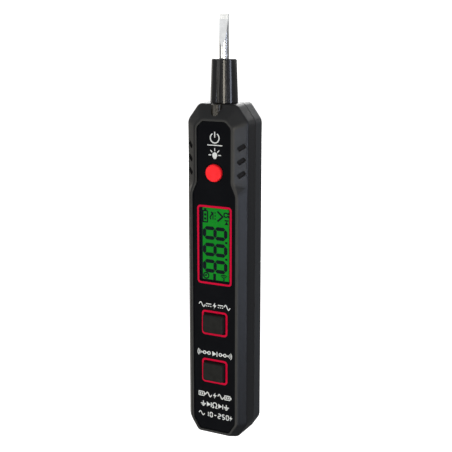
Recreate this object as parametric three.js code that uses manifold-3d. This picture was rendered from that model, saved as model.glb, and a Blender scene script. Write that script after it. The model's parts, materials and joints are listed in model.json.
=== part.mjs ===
// Pocket voltage tester with a screwdriver probe, a lit LCD and three buttons.
// Millimetres. +Z runs up towards the driver tip, -Y is the front, X is the width.
// The origin is at the centre of the bottom of the bounding box.

import * as THREE from "three";
import { mergeVertices } from "three/addons/utils/BufferGeometryUtils.js";
import Module from "manifold-3d";

const wasm = await Module();
wasm.setup();

// ---------------------------------------------------------------- driving dimensions

const OVERALL_LENGTH = 160;
const BODY_TOP = 128.3;
const BODY_HALF_WIDTH = 12.45;
const BACK_Y = 8.25;
const PARTING_Y = 2.3; // where the front and rear halves of the case meet
const BEVEL_Y = -3.6; // outer edge of the bevel around the face
const RIM_Y = -6.9; // front edge of the rim around the face
const PANEL_Y = -6.35; // front of the face panel, sunk inside the rim
const PANEL_THICKNESS = 0.6;
const WALL = 1.3;
const CORNER_CUT = 1.3; // how far the case's corners are rounded back along each side
const RIM_EDGE = 0.42; // rounding of the rim's outer edge
const REAR_EDGE = 0.5; // rounding round the back
const PARTING_GROOVE = { width: 0.32, depth: 0.4 }; // shadow line where the halves meet
const FIT = 0.1; // face-to-face gap between neighbouring pieces
const SLIDE_FIT = 0.2; // gap around pieces that move or pass through holes

const PANEL_SEAT_Y = PANEL_Y + PANEL_THICKNESS + FIT;
const FRONT_WALL_BACK_Y = -4.55;
const SIDE_Y = PARTING_Y + FIT; // front edge of the rear half
const DOOR_TOP = 67.9;

const PCB_FRONT_Y = -2.3;
const PCB_BACK_Y = -1.3;
const PROBE_Y = 1.67;
const ROD_RADIUS = 1.81;
const SLEEVE_TOP = 144.2;
const SLEEVE = { baseRadius: 5.12, topRadius: 4.6, neckRadius: 3.4, flangeRadius: 4.3 };
const SLEEVE_GROOVE_RADIUS = 1.25;
const LED_Y = -4.27;
const LED_BORE_RADIUS = 2.1;

const WINDOW = { halfWidth: 6.1, bottom: 61.9, top: 89.9 };
const POWER_Z = 103.1;
const VOLTAGE_KEY_Z = 45.45;
const CONTINUITY_KEY_Z = 26.25;
const BUTTON_TRAVEL = 0.35;
const POWER_RADIUS = 3.25;
const POWER_FRONT_Y = PANEL_Y - 1.1;
const KEY = { width: 8.6, height: 7.3, frontY: -BACK_Y, flangeMargin: 0.65 }; // the frontmost points

const CELL = { radius: 5.8, thickness: 5.4, frontY: 0.7 };
const CELL_HEIGHTS = [18, 30.2, 42.4];
const BAY = { halfWidth: 5.95, bottom: 12, top: 48.4, floorY: 0.45, wall: 1.25, frontY: -0.6 };
const TRAY_BACK_Y = 6.3;

const UPPER_SCREW = { x: 9.2, z: 116 };
const MIDDLE_SCREW = { x: 9.2, z: 55.5 };
const BOTTOM_SCREW = { x: 0, z: 6.6 };
const PCB_SCREW_HEIGHTS = [55.5, 95.6];

// ---------------------------------------------------------------- solid helpers

// Turns a closed three.js geometry into a solid that can be joined and cut.
function solidFrom(geometry) {
  const bare = geometry.clone();
  bare.deleteAttribute("normal");
  bare.deleteAttribute("uv");
  const merged = mergeVertices(bare, 1e-4);
  const mesh = new wasm.Mesh({
    numProp: 3,
    vertProperties: new Float32Array(merged.attributes.position.array),
    triVerts: new Uint32Array(merged.index.array),
  });
  return new wasm.Manifold(mesh);
}

function geometryFrom(solid) {
  const mesh = solid.getMesh();
  const geometry = new THREE.BufferGeometry();
  geometry.setAttribute("position", new THREE.BufferAttribute(mesh.vertProperties, 3));
  geometry.setIndex(new THREE.BufferAttribute(mesh.triVerts, 1));
  geometry.computeVertexNormals();
  return geometry;
}

function box(x0, x1, y0, y1, z0, z1) {
  const geometry = new THREE.BoxGeometry(x1 - x0, y1 - y0, z1 - z0);
  geometry.translate((x0 + x1) / 2, (y0 + y1) / 2, (z0 + z1) / 2);
  return solidFrom(geometry);
}

function cylinderY(x, z, radius, y0, y1, sides = 24) {
  const geometry = new THREE.CylinderGeometry(radius, radius, y1 - y0, sides);
  geometry.translate(x, (y0 + y1) / 2, z);
  return solidFrom(geometry);
}

function cylinderZ(x, y, radius, z0, z1, sides = 24) {
  const geometry = new THREE.CylinderGeometry(radius, radius, z1 - z0, sides);
  geometry.rotateX(Math.PI / 2);
  geometry.translate(x, y, (z0 + z1) / 2);
  return solidFrom(geometry);
}

// A turned piece whose profile points are [radius, height], standing along +Z.
function turnedZ(profile, sides = 32) {
  const points = profile.map(([radius, height]) => new THREE.Vector2(radius, height));
  const geometry = new THREE.LatheGeometry(points, sides);
  geometry.rotateX(Math.PI / 2);
  return solidFrom(geometry);
}

// The same, but lying along +Y: profile points are [radius, y].
function turnedY(profile, sides = 28) {
  const points = profile.map(([radius, y]) => new THREE.Vector2(radius, y));
  return solidFrom(new THREE.LatheGeometry(points, sides));
}

// A solid skinned over outlines that share a point count. Each section is { y, points },
// with its [x, z] points anticlockwise as seen from the front, and y rises along the list.
function loft(sections) {
  const count = sections[0].points.length;
  const positions = sections.flatMap(({ y, points }) => points.flatMap(([x, z]) => [x, y, z]));
  const index = [];
  const contour = (section) => section.points.map(([x, z]) => new THREE.Vector2(x, z));
  for (const [a, b, c] of THREE.ShapeUtils.triangulateShape(contour(sections[0]), [])) {
    index.push(a, b, c);
  }
  for (let ring = 0; ring < sections.length - 1; ring += 1) {
    for (let j = 0; j < count; j += 1) {
      const next = (j + 1) % count;
      const front = ring * count;
      const back = front + count;
      index.push(front + j, back + j, back + next, front + j, back + next, front + next);
    }
  }
  const last = (sections.length - 1) * count;
  for (const [a, b, c] of THREE.ShapeUtils.triangulateShape(contour(sections.at(-1)), [])) {
    index.push(last + a, last + c, last + b);
  }
  const geometry = new THREE.BufferGeometry();
  geometry.setAttribute("position", new THREE.Float32BufferAttribute(positions, 3));
  geometry.setIndex(index);
  return solidFrom(geometry);
}

function prism(points, y0, y1) {
  return loft([{ y: y0, points }, { y: y1, points }]);
}

// A prism along X whose outline points are [y, z].
function prismX(points, x0, x1) {
  const shape = new THREE.Shape(points.map(([y, z]) => new THREE.Vector2(y, z)));
  const geometry = new THREE.ExtrudeGeometry(shape, { depth: x1 - x0, bevelEnabled: false });
  const axes = new THREE.Matrix4().makeBasis(
    new THREE.Vector3(0, 1, 0),
    new THREE.Vector3(0, 0, 1),
    new THREE.Vector3(1, 0, 0),
  );
  geometry.applyMatrix4(axes);
  geometry.translate(x0, 0, 0);
  return solidFrom(geometry);
}

const joined = (first, ...others) => others.reduce((sum, other) => sum.add(other), first);
const cut = (first, ...tools) => tools.reduce((left, tool) => left.subtract(tool), first);

// ---------------------------------------------------------------- outlines, as [x, z]

// A symmetric outline from its right-hand side, listed from the bottom up.
function mirrored(rightSide) {
  const leftSide = rightSide.map(([x, z]) => [-x, z]).reverse();
  return [...rightSide, ...leftSide];
}

// Moves every edge of an anticlockwise outline inwards by the same distance.
function inset(points, distance) {
  const count = points.length;
  const edges = points.map(([x, z], i) => {
    const [nextX, nextZ] = points[(i + 1) % count];
    const length = Math.hypot(nextX - x, nextZ - z);
    const along = [(nextX - x) / length, (nextZ - z) / length];
    return { along, start: [x - along[1] * distance, z + along[0] * distance] };
  });
  return edges.map(({ along, start }, i) => {
    const before = edges[(i + count - 1) % count];
    const turn = before.along[0] * along[1] - before.along[1] * along[0];
    if (Math.abs(turn) < 1e-6) return start;
    const gap = [start[0] - before.start[0], start[1] - before.start[1]];
    const reach = (gap[0] * along[1] - gap[1] * along[0]) / turn;
    return [before.start[0] + before.along[0] * reach, before.start[1] + before.along[1] * reach];
  });
}

// Replaces each corner of an outline by a short curve starting `cut` before it.
function softened(points, cut, steps = 4) {
  const count = points.length;
  const between = ([x0, z0], [x1, z1], share) => [x0 + (x1 - x0) * share, z0 + (z1 - z0) * share];
  const towards = (from, to) => {
    const length = Math.hypot(to[0] - from[0], to[1] - from[1]);
    return between(from, to, Math.min(cut / length, 0.4));
  };
  return points.flatMap((corner, i) => {
    const start = towards(corner, points[(i + count - 1) % count]);
    const end = towards(corner, points[(i + 1) % count]);
    return Array.from({ length: steps + 1 }, (_, j) => {
      const share = j / steps;
      return between(between(start, corner, share), between(corner, end, share), share);
    });
  });
}

function roundedRectangle(width, height, radius, centreZ = 0, steps = 3) {
  const corners = [
    [width / 2 - radius, height / 2 - radius, 0],
    [radius - width / 2, height / 2 - radius, 1],
    [radius - width / 2, radius - height / 2, 2],
    [width / 2 - radius, radius - height / 2, 3],
  ];
  return corners.flatMap(([x, z, quarter]) =>
    Array.from({ length: steps + 1 }, (_, i) => {
      const angle = (quarter + i / steps) * (Math.PI / 2);
      return [x + radius * Math.cos(angle), centreZ + z + radius * Math.sin(angle)];
    }),
  );
}

// The face is narrower above the shoulder, which lies between these two heights.
const SHOULDER = { low: 95.3, high: 99.5 };

function bodyOutline(topZ = BODY_TOP) {
  return mirrored([
    [8.7, 0],
    [BODY_HALF_WIDTH, 5.6],
    [BODY_HALF_WIDTH, SHOULDER.low],
    [BODY_HALF_WIDTH, SHOULDER.high],
    [BODY_HALF_WIDTH, 121.9],
    [7.8, topZ],
  ]);
}

const rimOutline = mirrored([
  [6.8, 1.1],
  [9.9, 5.9],
  [9.9, SHOULDER.low],
  [8.0, SHOULDER.high],
  [8.0, 120.1],
  [5.1, 123.0],
]);

const panelOutline = softened(inset(rimOutline, 0.95), 0.7, 2);
const caseInside = inset(bodyOutline(), WALL);
const softBody = softened(bodyOutline(), CORNER_CUT);

// ---------------------------------------------------------------- scene and materials

const tester = new THREE.Group();

function material(color, roughness, metalness = 0, opacity = 1) {
  return new THREE.MeshStandardMaterial({
    color, roughness, metalness, opacity, transparent: opacity < 1,
  });
}

const shellPlastic = material(0x2a2d31, 0.55);
const facePlastic = material(0x131518, 0.35);
const clearPlastic = material(0xf2f6f4, 0.05, 0, 0.3);
const whitePlastic = material(0xe8ecec, 0.5);
const blackPlastic = material(0x101114, 0.25);
const redPlastic = material(0xf02c38, 0.35);
const keyRubber = material(0x2b2d2d, 0.7);
const lcdGlass = material(0x16a02c, 0.1);
const lcdLight = material(0x2fd348, 0.4);
const zebraRubber = material(0xd98aa0, 0.7);
const board = material(0x1d5a34, 0.5);
const chipEpoxy = material(0x17181a, 0.6);
const copper = material(0xc07a45, 0.35, 1);
const chrome = material(0xd8dadc, 0.12, 1);
const brass = material(0xc9a456, 0.3, 1);
const steel = material(0xa9adb0, 0.3, 1);
const springSteel = material(0xb9bdc0, 0.25, 1);

// Adds one named piece; its shape is drawn about the place where it goes.
function addPiece(name, shape, look, place = [0, 0, 0], parent = tester) {
  const mesh = new THREE.Mesh(geometryFrom(shape), look);
  mesh.name = name;
  mesh.position.set(...place);
  parent.add(mesh);
  return mesh;
}

// ---------------------------------------------------------------- case screws

const SCREW_HEAD = { radius: 1.5, height: 0.75 };
const SCREW_SHANK_RADIUS = 0.8;
const SCREW_BORE_RADIUS = 1.0;
const CASE_SCREWS = [
  { name: "case_screw_upper_left", x: -UPPER_SCREW.x, z: UPPER_SCREW.z, seatY: 7.3, length: 9.5 },
  { name: "case_screw_upper_right", x: UPPER_SCREW.x, z: UPPER_SCREW.z, seatY: 7.3, length: 9.5 },
  { name: "case_screw_middle_left", x: -MIDDLE_SCREW.x, z: MIDDLE_SCREW.z, seatY: 5.45, length: 8.1 },
  { name: "case_screw_middle_right", x: MIDDLE_SCREW.x, z: MIDDLE_SCREW.z, seatY: 5.45, length: 8.1 },
  { name: "case_screw_bottom", x: BOTTOM_SCREW.x, z: BOTTOM_SCREW.z, seatY: 5.45, length: 8.1 },
];
const FRONT_BOSS = { radius: 1.75, startY: -4.3 };
const REAR_BOSS_RADIUS = 1.7;

// A pan head with a cross recess; the head's underside is at y = 0 and the shank runs to -Y.
function crossScrew(headRadius, headHeight, shankRadius, shankLength) {
  const body = turnedY([
    [0, -shankLength],
    [shankRadius * 0.6, -shankLength],
    [shankRadius, -shankLength + shankRadius],
    [shankRadius, 0],
    [headRadius, 0],
    [headRadius, headHeight * 0.6],
    [headRadius * 0.7, headHeight],
    [0, headHeight],
  ], 12);
  const slotHalf = headRadius * 0.14;
  const reach = headRadius * 0.6;
  const depth = headHeight * 0.5;
  const slots = [
    box(-reach, reach, depth, headHeight + 1, -slotHalf, slotHalf),
    box(-slotHalf, slotHalf, depth, headHeight + 1, -reach, reach),
  ];
  return cut(body, ...slots);
}

for (const { name, x, z, seatY, length } of CASE_SCREWS) {
  const screw = crossScrew(SCREW_HEAD.radius, SCREW_HEAD.height, SCREW_SHANK_RADIUS, length);
  addPiece(name, screw, steel, [x, seatY + FIT, z]);
}

// ---------------------------------------------------------------- front shell

const GRIP_NOTCH = { heights: [112.9, 107.95, 103.0], length: 3.3, width: 1.85, turn: 32, depth: 0.75 };

// One slanted grip notch sunk in the side bevel; side is +1 for the right side.
function gripNotch(z, side) {
  const rimHalfWidth = rimOutline[3][0];
  const bevelRun = BODY_HALF_WIDTH - rimHalfWidth;
  const bevelFall = BEVEL_Y - RIM_Y;
  const outline = roundedRectangle(GRIP_NOTCH.length, GRIP_NOTCH.width, 0.6)
    .map(([x, up]) => new THREE.Vector2(x, up));
  const geometry = new THREE.ExtrudeGeometry(new THREE.Shape(outline), {
    depth: GRIP_NOTCH.depth * 2, bevelEnabled: false,
  });
  geometry.translate(0, 0, -GRIP_NOTCH.depth);
  geometry.rotateX(Math.PI / 2);
  geometry.rotateY(-side * THREE.MathUtils.degToRad(GRIP_NOTCH.turn));
  geometry.rotateZ(side * Math.atan2(bevelFall, bevelRun));
  const across = 0.56; // its place between the rim and the side
  geometry.translate(side * (rimHalfWidth + across * bevelRun), RIM_Y + across * bevelFall, z);
  return solidFrom(geometry);
}

// The section a share of the way from one section to another.
function blended(from, to, share) {
  const mix = (a, b) => a + (b - a) * share;
  return {
    y: mix(from.y, to.y),
    points: from.points.map(([x, z], i) => [mix(x, to.points[i][0]), mix(z, to.points[i][1])]),
  };
}

// Sections that turn smoothly from `start` to `end` instead of meeting sharply at `corner`.
function roundedEdge(start, corner, end, steps) {
  return Array.from({ length: steps + 1 }, (_, i) => {
    const share = i / steps;
    return blended(blended(start, corner, share), blended(corner, end, share), share);
  });
}

function frontShell() {
  const rim = { y: RIM_Y, points: softened(rimOutline, 1.0) };
  const bevelEnd = { y: BEVEL_Y, points: softened(bodyOutline(BODY_TOP - 0.25), CORNER_CUT) };
  const side = { y: PARTING_Y, points: softBody };
  const rimFace = { y: RIM_Y, points: inset(rim.points, RIM_EDGE) };
  const outside = loft([
    ...roundedEdge(rimFace, rim, blended(rim, bevelEnd, 0.16), 4),
    ...roundedEdge(blended(rim, bevelEnd, 0.86), bevelEnd, blended(bevelEnd, side, 0.1), 4),
    side,
  ]);
  const inside = loft([
    { y: FRONT_WALL_BACK_Y, points: inset(rimOutline, 1.0) },
    { y: BEVEL_Y + 0.3, points: caseInside },
    { y: PARTING_Y + 1, points: caseInside },
  ]);
  const bosses = CASE_SCREWS.map(({ x, z }) =>
    cylinderY(x, z, FRONT_BOSS.radius, x === 0 ? FRONT_WALL_BACK_Y - 0.3 : FRONT_BOSS.startY, PARTING_Y, 20));
  const bossBores = CASE_SCREWS.map(({ x, z }) =>
    cylinderY(x, z, SCREW_BORE_RADIUS, -3.2, PARTING_Y + 1, 16));
  const boardPosts = PCB_SCREW_HEIGHTS.map((z) =>
    cylinderY(0, z, 1.5, FRONT_WALL_BACK_Y - 0.3, PCB_FRONT_Y - FIT, 16));
  const boardPostBores = PCB_SCREW_HEIGHTS.map((z) =>
    cylinderY(0, z, 0.75, FRONT_WALL_BACK_Y + 0.1, PCB_FRONT_Y + 1, 12));
  const keyHoles = [VOLTAGE_KEY_Z, CONTINUITY_KEY_Z].map((z) => keyOpening(z, 0.2));
  const notches = GRIP_NOTCH.heights.flatMap((z) => [gripNotch(z, 1), gripNotch(z, -1)]);
  return cut(
    joined(outside.subtract(inside), ...bosses, ...boardPosts),
    ...bossBores,
    ...boardPostBores,
    prism(panelOutline, RIM_Y - 1, PANEL_SEAT_Y),
    prism(roundedRectangle(14.8, 30.6, 0.5, 75.9), PANEL_SEAT_Y - 1, FRONT_WALL_BACK_Y + 1),
    cylinderY(0, POWER_Z, POWER_RADIUS + SLIDE_FIT + 0.1, PANEL_SEAT_Y - 1, FRONT_WALL_BACK_Y + 1, 32),
    ...keyHoles,
    ...notches,
    cylinderZ(0, LED_Y, LED_BORE_RADIUS, 122.2, BODY_TOP + 3),
    cylinderZ(0, PROBE_Y, SLEEVE.neckRadius + SLIDE_FIT, 120, BODY_TOP + 3, 32),
  );
}

function keyOpening(z, extra) {
  const width = KEY.width + 2 * (SLIDE_FIT + extra);
  const height = KEY.height + 2 * (SLIDE_FIT + extra);
  return prism(roundedRectangle(width, height, 1.0, z), RIM_Y - 1, FRONT_WALL_BACK_Y + 1);
}

addPiece("front_shell", frontShell(), shellPlastic);

// ---------------------------------------------------------------- rear shell and battery door

function rearOutside() {
  const side = { y: BACK_Y - REAR_EDGE * 1.2, points: softBody };
  const corner = { y: BACK_Y, points: softBody };
  const back = { y: BACK_Y, points: inset(softBody, REAR_EDGE) };
  return loft([
    { y: SIDE_Y, points: inset(softBody, PARTING_GROOVE.depth) },
    { y: SIDE_Y + PARTING_GROOVE.width - 0.05, points: inset(softBody, PARTING_GROOVE.depth) },
    { y: SIDE_Y + PARTING_GROOVE.width, points: softBody },
    ...roundedEdge(side, corner, back, 4),
  ]);
}

// A shallow groove across the back where the door meets the upper shell.
const SEAM_GROOVE = { width: 0.5, depth: 0.45 };
const seamGroove = box(
  -20, 20,
  BACK_Y - SEAM_GROOVE.depth, BACK_Y + 1,
  DOOR_TOP + FIT / 2 - SEAM_GROOVE.width / 2, DOOR_TOP + FIT / 2 + SEAM_GROOVE.width / 2,
);

// Finger grooves across the door, shortening downwards to point the way it slides off.
const FINGER_GROOVES = { count: 6, top: 62, pitch: 1.9, width: 0.9, depth: 0.4, halfLength: 6.4, taper: 0.7 };
const fingerGrooves = Array.from({ length: FINGER_GROOVES.count }, (_, i) => {
  const z = FINGER_GROOVES.top - i * FINGER_GROOVES.pitch;
  const reach = FINGER_GROOVES.halfLength - i * FINGER_GROOVES.taper;
  return box(-reach, reach, BACK_Y - FINGER_GROOVES.depth, BACK_Y + 1, z - FINGER_GROOVES.width, z);
});

const RAIL = { y0: 3.5, y1: 4.5, bottom: 8, top: 60, depth: 0.35 };

function rearShell() {
  const stepTop = DOOR_TOP + FIT + 1.4;
  const upper = rearOutside().intersect(box(-20, 20, 0, 20, DOOR_TOP + FIT, BODY_TOP + 2));
  const upperInside = prism(caseInside, SIDE_Y - 1, BACK_Y - WALL)
    .intersect(box(-20, 20, 0, 20, stepTop, BODY_TOP));
  const trayOutline = inset(bodyOutline(), WALL + SLIDE_FIT);
  const tray = prism(trayOutline, SIDE_Y, TRAY_BACK_Y).intersect(box(-20, 20, 0, 20, 0, stepTop));
  const trayInside = prism(inset(trayOutline, 1.2), SIDE_Y - 1, TRAY_BACK_Y - 1.2)
    .intersect(box(-20, 20, 0, 20, 0, DOOR_TOP + FIT));
  const bayBlock = box(
    -BAY.halfWidth - BAY.wall, BAY.halfWidth + BAY.wall,
    BAY.frontY, TRAY_BACK_Y,
    BAY.bottom - BAY.wall, BAY.top + BAY.wall,
  );
  const bay = box(-BAY.halfWidth, BAY.halfWidth, BAY.floorY, TRAY_BACK_Y + 1, BAY.bottom, BAY.top);
  const bosses = CASE_SCREWS.map(({ x, z, seatY }) =>
    cylinderY(x, z, REAR_BOSS_RADIUS, SIDE_Y, seatY, 20));
  const bores = CASE_SCREWS.map(({ x, z }) => cylinderY(x, z, SCREW_BORE_RADIUS, 0, BACK_Y + 1, 16));
  const headSeats = CASE_SCREWS.map(({ x, z, seatY }) =>
    cylinderY(x, z, SCREW_HEAD.radius + SLIDE_FIT, seatY, BACK_Y + 1, 20));
  const grooves = [-1, 1].map((side) => {
    const outer = side * (BODY_HALF_WIDTH - WALL);
    const inner = side * (BODY_HALF_WIDTH - WALL - SLIDE_FIT - RAIL.depth - 0.15);
    return box(
      Math.min(outer, inner), Math.max(outer, inner),
      RAIL.y0 - SLIDE_FIT, RAIL.y1 + SLIDE_FIT,
      -1, RAIL.top + 1,
    );
  });
  return cut(
    joined(upper.subtract(upperInside), tray.subtract(trayInside), bayBlock, ...bosses),
    bay,
    ...bores,
    ...headSeats,
    ...grooves,
    seamGroove,
    cylinderZ(0, PROBE_Y, SLEEVE.neckRadius + SLIDE_FIT, 120, BODY_TOP + 3, 32),
  );
}

function batteryDoor() {
  const doorInside = prism(caseInside, SIDE_Y - 1, BACK_Y - WALL);
  const cover = rearOutside()
    .subtract(doorInside)
    .intersect(box(-20, 20, 0, 20, -1, DOOR_TOP));
  const rails = [-1, 1].map((side) => {
    const wallSide = side * (BODY_HALF_WIDTH - WALL + 0.2);
    const inner = side * (BODY_HALF_WIDTH - WALL - SLIDE_FIT - RAIL.depth + 0.1);
    return box(
      Math.min(wallSide, inner), Math.max(wallSide, inner),
      RAIL.y0, RAIL.y1,
      RAIL.bottom, RAIL.top,
    );
  });
  return cut(joined(cover, ...rails), seamGroove, ...fingerGrooves);
}

addPiece("rear_shell", rearShell(), shellPlastic);
addPiece("battery_door", batteryDoor(), shellPlastic);

// ---------------------------------------------------------------- face panel and window

function windowOutline(margin) {
  const width = 2 * (WINDOW.halfWidth + margin);
  const height = WINDOW.top - WINDOW.bottom + 2 * margin;
  return roundedRectangle(width, height, 0.6, (WINDOW.top + WINDOW.bottom) / 2);
}

const facePanel = cut(
  prism(inset(panelOutline, FIT), PANEL_Y, PANEL_Y + PANEL_THICKNESS),
  prism(windowOutline(0), PANEL_Y - 1, PANEL_Y + 2),
  cylinderY(0, POWER_Z, POWER_RADIUS + SLIDE_FIT, PANEL_Y - 1, PANEL_Y + 2, 32),
  keyOpening(VOLTAGE_KEY_Z, 0),
  keyOpening(CONTINUITY_KEY_Z, 0),
);
addPiece("face_panel", facePanel, facePlastic);

const windowLens = prism(windowOutline(-FIT), PANEL_Y + 0.05, PANEL_Y + PANEL_THICKNESS);
addPiece("window_lens", windowLens, clearPlastic);

// ---------------------------------------------------------------- LCD stack, front to back

const LCD = { halfWidth: 7.2, bottom: 60.8, top: 91.0, frontY: -5.6, glass: 0.65 };
const BACKLIGHT = { bottom: 62.8, top: 89.0, y0: -4.1, y1: -2.7 };
const HOLDER = { halfWidth: 8.3, wall: 0.9, y0: -4.45, y1: -2.4 };

function lcdPlate(y0, y1, bottom, top) {
  return box(-LCD.halfWidth, LCD.halfWidth, y0, y1, bottom, top);
}

const lcdMiddleY = LCD.frontY + LCD.glass;
const lcdBackY = lcdMiddleY + FIT + LCD.glass;
addPiece("lcd_glass_front", lcdPlate(LCD.frontY, lcdMiddleY, LCD.bottom, LCD.top), lcdGlass);
addPiece("lcd_glass_rear", lcdPlate(lcdMiddleY + FIT, lcdBackY, LCD.bottom, LCD.top), lcdGlass);
addPiece("lcd_backlight", lcdPlate(BACKLIGHT.y0, BACKLIGHT.y1, BACKLIGHT.bottom, BACKLIGHT.top), lcdLight);

const zebraStrip = box(-6.8, 6.8, BACKLIGHT.y0, PCB_FRONT_Y - FIT, -0.75, 0.75);
addPiece("zebra_strip_lower", zebraStrip, zebraRubber, [0, 0, LCD.bottom + 0.9]);
addPiece("zebra_strip_upper", zebraStrip, zebraRubber, [0, 0, LCD.top - 0.9]);

const lcdHolder = box(
  -HOLDER.halfWidth, HOLDER.halfWidth,
  HOLDER.y0, HOLDER.y1,
  LCD.bottom - 1.2, LCD.top + 1.2,
).subtract(box(
  HOLDER.wall - HOLDER.halfWidth, HOLDER.halfWidth - HOLDER.wall,
  HOLDER.y0 - 1, HOLDER.y1 + 1,
  LCD.bottom - 0.3, LCD.top + 0.3,
));
addPiece("lcd_holder", lcdHolder, whitePlastic);

// ---------------------------------------------------------------- circuit board

function circuitBoard() {
  const blank = prism(
    mirrored([[7.5, 11.5], [10.8, 11.5], [10.8, 117], [9.3, 118.5]]),
    PCB_FRONT_Y, PCB_BACK_Y,
  );
  const bossNotches = CASE_SCREWS.map(({ x, z }) =>
    cylinderY(x, z, FRONT_BOSS.radius + 0.35, PCB_FRONT_Y - 1, PCB_BACK_Y + 1, 20));
  const screwHoles = PCB_SCREW_HEIGHTS.map((z) =>
    cylinderY(0, z, 0.8, PCB_FRONT_Y - 1, PCB_BACK_Y + 1, 12));
  return cut(blank, ...bossNotches, ...screwHoles);
}

addPiece("main_board", circuitBoard(), board);

PCB_SCREW_HEIGHTS.forEach((z, i) => {
  const screw = crossScrew(1.4, 0.7, 0.6, 2.6);
  addPiece(`board_screw_${i + 1}`, screw, steel, [0, PCB_BACK_Y + FIT, z]);
});

const onBoardBack = PCB_BACK_Y + FIT;
addPiece("controller_chip", box(-3.5, 3.5, 0, 1.2, -3.5, 3.5), chipEpoxy, [-2.5, onBoardBack, 63]);
addPiece("crystal_can", box(-1.1, 1.1, 0, 1.6, -2.6, 2.6), steel, [6.5, onBoardBack, 78]);
const capacitor = turnedY([[0, 0], [2, 0], [2, 4.2], [1.7, 4.5], [0, 4.5]], 20);
addPiece("capacitor", capacitor, blackPlastic, [-6.6, onBoardBack, 80]);
const buzzer = turnedY([[0, 0], [4.5, 0], [4.5, 3.4], [1.2, 3.4], [1.2, 2.6], [0, 2.6]], 20);
addPiece("buzzer", buzzer, blackPlastic, [0, onBoardBack, 85.5]);
addPiece("sensor_plate", box(-5, 5, 0, 0.3, -4.2, 4.2), copper, [0, -3.6, 113]);

// ---------------------------------------------------------------- buttons and their switches

const SWITCH = { half: 2.3, height: 0.9, plungerRadius: 0.95 };
const FLANGE = { y0: FRONT_WALL_BACK_Y + FIT, thickness: 0.6 };
const flangeBackY = FLANGE.y0 + FLANGE.thickness;
const switchFrontY = PCB_FRONT_Y - FIT - SWITCH.height;

// The red power button is a round cap with a retaining flange.
const powerButton = turnedY([
  [0, POWER_FRONT_Y],
  [POWER_RADIUS - 0.45, POWER_FRONT_Y],
  [POWER_RADIUS - 0.12, POWER_FRONT_Y + 0.14],
  [POWER_RADIUS, POWER_FRONT_Y + 0.45],
  [POWER_RADIUS, FLANGE.y0],
  [POWER_RADIUS + 0.9, FLANGE.y0],
  [POWER_RADIUS + 0.9, flangeBackY],
  [0, flangeBackY],
]);

function rubberKey() {
  const { width, height, frontY, flangeMargin } = KEY;
  const wide = width + 2 * flangeMargin;
  const tall = height + 2 * flangeMargin;
  return loft([
    { y: frontY, points: roundedRectangle(width - 1.0, height - 1.0, 0.6) },
    { y: frontY + 0.15, points: roundedRectangle(width - 0.4, height - 0.4, 0.75) },
    { y: frontY + 0.6, points: roundedRectangle(width, height, 0.9) },
    { y: FLANGE.y0, points: roundedRectangle(width, height, 0.9) },
    { y: FLANGE.y0, points: roundedRectangle(wide, tall, 1.1) },
    { y: flangeBackY, points: roundedRectangle(wide, tall, 1.1) },
  ]);
}

const switchCase = box(-SWITCH.half, SWITCH.half, 0, SWITCH.height, -SWITCH.half, SWITCH.half)
  .subtract(cylinderY(0, 0, SWITCH.plungerRadius + 0.25, -1, SWITCH.height + 1, 20));
const plungerLength = PCB_FRONT_Y - BUTTON_TRAVEL - FIT - (flangeBackY + FIT);
const switchPlunger = cylinderY(0, 0, SWITCH.plungerRadius, 0, plungerLength, 12);

const buttons = [
  { name: "power", z: POWER_Z, cap: "power_button", shape: powerButton, look: redPlastic },
  { name: "voltage", z: VOLTAGE_KEY_Z, cap: "voltage_key", shape: rubberKey(), look: keyRubber },
  { name: "continuity", z: CONTINUITY_KEY_Z, cap: "continuity_key", shape: rubberKey(), look: keyRubber },
];
for (const { name, z, cap, shape, look } of buttons) {
  const group = new THREE.Group();
  group.position.set(0, 0, z);
  tester.add(group);
  addPiece(cap, shape, look, [0, 0, 0], group);
  addPiece(`${name}_switch_plunger`, switchPlunger, whitePlastic, [0, flangeBackY + FIT, 0], group);
  addPiece(`${name}_switch_case`, switchCase, blackPlastic, [0, switchFrontY, 0], group);
}

// ---------------------------------------------------------------- indicator lamp

const LAMP = { radius: 1.9, bottom: 122.5, top: 128.2, edge: 0.35 };
const lampHeight = LAMP.top - LAMP.bottom;
const lampBarrel = turnedZ([
  [0, 0],
  [LAMP.radius, 0],
  [LAMP.radius, lampHeight - LAMP.edge],
  [LAMP.radius - LAMP.edge * 0.3, lampHeight - LAMP.edge * 0.3],
  [LAMP.radius - LAMP.edge, lampHeight],
  [0, lampHeight],
], 28);
addPiece("indicator_lamp", lampBarrel, clearPlastic, [0, LED_Y, LAMP.bottom]);

const lampLead = joined(
  box(-0.2, 0.2, -0.2, 0.2, -5.2, 0),
  box(-0.2, 0.2, -0.2, 1.2, -5.2, -4.8),
);
for (const [name, x] of [["lamp_lead_left", -0.6], ["lamp_lead_right", 0.6]]) {
  addPiece(name, lampLead, springSteel, [x, LED_Y + 0.55, LAMP.bottom - FIT]);
}

// ---------------------------------------------------------------- probe

const ROD_BOTTOM = 108;
const BLADE = { taperStart: 148.4, thinStart: 158.2, halfThickness: 0.42 };

// Two ground flats narrow the rod to a thin screwdriver tip.
function probeRod() {
  const rod = turnedZ([
    [0, ROD_BOTTOM],
    [ROD_RADIUS, ROD_BOTTOM],
    [ROD_RADIUS, OVERALL_LENGTH],
    [0, OVERALL_LENGTH],
  ], 32);
  const flats = [-1, 1].map((side) => {
    const outline = [
      [side * ROD_RADIUS, BLADE.taperStart],
      [side * 4, BLADE.taperStart],
      [side * 4, OVERALL_LENGTH + 1],
      [side * BLADE.halfThickness, OVERALL_LENGTH + 1],
      [side * BLADE.halfThickness, BLADE.thinStart],
    ];
    return prismX(side > 0 ? outline : outline.reverse(), -4, 4);
  });
  return cut(rod, ...flats);
}

addPiece("probe_rod", probeRod(), chrome, [0, PROBE_Y, 0]);

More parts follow.
